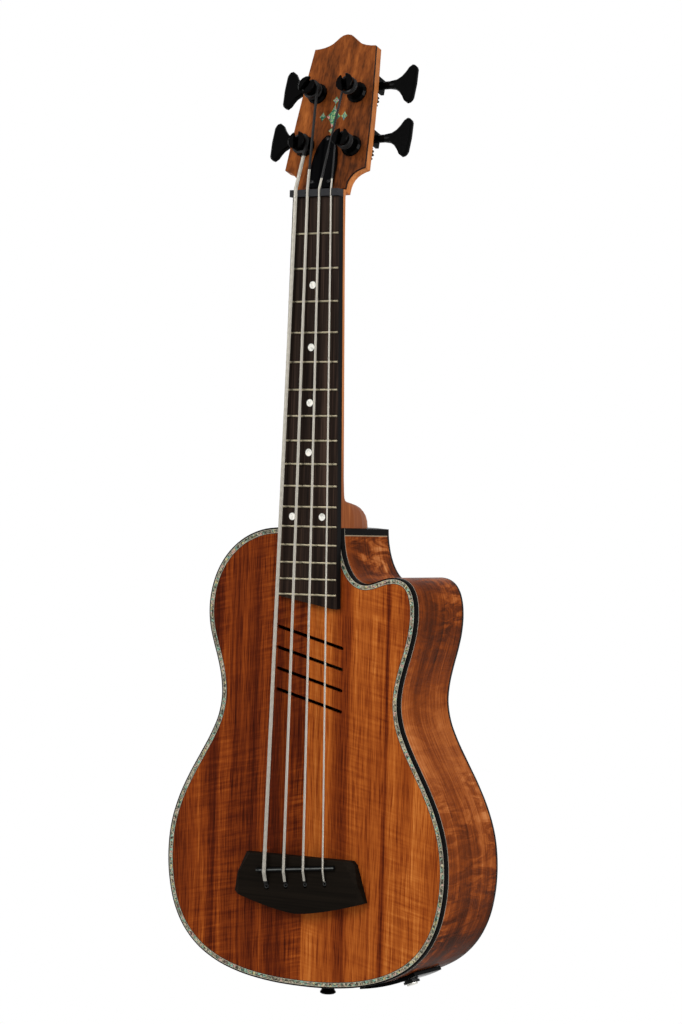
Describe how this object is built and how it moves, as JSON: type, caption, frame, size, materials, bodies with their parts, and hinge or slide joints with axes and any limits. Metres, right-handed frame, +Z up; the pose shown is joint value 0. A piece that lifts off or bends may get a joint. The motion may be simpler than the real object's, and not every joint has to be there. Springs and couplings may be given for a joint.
{
  "type": "bass ukulele",
  "caption": "Short-scale acoustic-electric bass ukulele with a cutaway body, slanted sound slots, a string-through bridge, wound-on thick strings and worm-geared tuning machines.",
  "frame": {"origin": "on the centreline, at the nut's front edge and on the neck's face, which is level with the top's face", "axes": "+X to the treble side, +Y from the top into the body, +Z up the neck to the headstock"},
  "size_m": [0.2546, 0.1021, 0.7619],
  "materials": {
    "koa_top": "gloss",
    "koa_back": "gloss",
    "koa_sides": "gloss",
    "koa_head": "gloss",
    "black_binding": "gloss",
    "abalone": "iridescent",
    "mahogany": "satin",
    "spruce": "raw",
    "maple": "raw",
    "ebony": "satin",
    "rosewood": "satin",
    "black_nut": "satin",
    "black_plastic": "gloss",
    "black_metal": "gloss black plating",
    "pickup": "plated",
    "lead": "matt",
    "jack_metal": "polished",
    "steel": "plain",
    "fret_wire": "polished nickel silver",
    "string": "flat wound"
  },
  "bodies": {
    "instrument": {"top_plate": "koa_top", "back_plate": "koa_back", "sides": "koa_sides", "top_binding": "black_binding", "back_binding": "black_binding", "top_purfling": "abalone", "neck_block": "mahogany", "tail_block": "mahogany", "top_lining": "spruce", "back_lining": "spruce", "upper_top_brace": "spruce", "lower_top_brace": "spruce", "upper_back_brace": "spruce", "lower_back_brace": "spruce", "bridge_plate": "maple", "bridge": "ebony", "saddle": "black_nut", "pickup_strip": "pickup", "pickup_lead": "lead", "output_jack": "jack_metal", "jack_plate": "black_plastic", "strap_button": "black_metal", "neck": "mahogany", "headplate": "koa_head", "fretboard": "rosewood", "nut": "black_nut", "truss_rod": "steel", "truss_rod_cover": "black_plastic", "fret_01": "fret_wire", "fret_02": "fret_wire", "fret_03": "fret_wire", "fret_04": "fret_wire", "fret_05": "fret_wire", "fret_06": "fret_wire", "fret_07": "fret_wire", "fret_08": "fret_wire", "fret_09": "fret_wire", "fret_10": "fret_wire", "fret_11": "fret_wire", "fret_12": "fret_wire", "fret_13": "fret_wire", "fret_14": "fret_wire", "fret_15": "fret_wire", "fret_16": "fret_wire", "string_E": "string", "string_A": "string", "string_D": "string", "string_G": "string", "machine_E": "black_metal", "machine_A": "black_metal", "machine_D": "black_metal", "machine_G": "black_metal"},
    "key_body_E": {"key_E": "black_metal"},
    "key_body_A": {"key_A": "black_metal"},
    "key_body_D": {"key_D": "black_metal"},
    "key_body_G": {"key_G": "black_metal"},
    "post_body_E": {"post_E": "black_metal"},
    "post_body_A": {"post_A": "black_metal"},
    "post_body_D": {"post_D": "black_metal"},
    "post_body_G": {"post_G": "black_metal"}
  },
  "joints": [
    {"name": "key_turn_E", "type": "hinge", "parent": "instrument", "child": "key_body_E", "pos_m": [-0.0216, 0.03169, 0.04969], "axis": [1, 0, 0], "continuous": true},
    {"name": "key_turn_A", "type": "hinge", "parent": "instrument", "child": "key_body_A", "pos_m": [-0.0182, 0.04349, 0.09281], "axis": [1, 0, 0], "continuous": true},
    {"name": "key_turn_D", "type": "hinge", "parent": "instrument", "child": "key_body_D", "pos_m": [0.0182, 0.04325, 0.09194], "axis": [1, 0, 0], "continuous": true},
    {"name": "key_turn_G", "type": "hinge", "parent": "instrument", "child": "key_body_G", "pos_m": [0.0216, 0.03127, 0.04815], "axis": [1, 0, 0], "continuous": true},
    {"name": "post_turn_E", "type": "hinge", "parent": "instrument", "child": "post_body_E", "pos_m": [-0.0216, 0.01263, 0.04215], "axis": [0, -0.9646, 0.2639], "continuous": true},
    {"name": "post_turn_A", "type": "hinge", "parent": "instrument", "child": "post_body_A", "pos_m": [-0.0182, 0.02442, 0.08527], "axis": [0, -0.9646, 0.2639], "continuous": true},
    {"name": "post_turn_D", "type": "hinge", "parent": "instrument", "child": "post_body_D", "pos_m": [0.0182, 0.02418, 0.0844], "axis": [0, -0.9646, 0.2639], "continuous": true},
    {"name": "post_turn_G", "type": "hinge", "parent": "instrument", "child": "post_body_G", "pos_m": [0.0216, 0.0122, 0.04061], "axis": [0, -0.9646, 0.2639], "continuous": true}
  ],
  "couplings": [
    {"joint": "post_turn_E", "follows": "key_turn_E", "ratio": 0.055556},
    {"joint": "post_turn_A", "follows": "key_turn_A", "ratio": 0.055556},
    {"joint": "post_turn_D", "follows": "key_turn_D", "ratio": 0.055556},
    {"joint": "post_turn_G", "follows": "key_turn_G", "ratio": 0.055556}
  ]
}
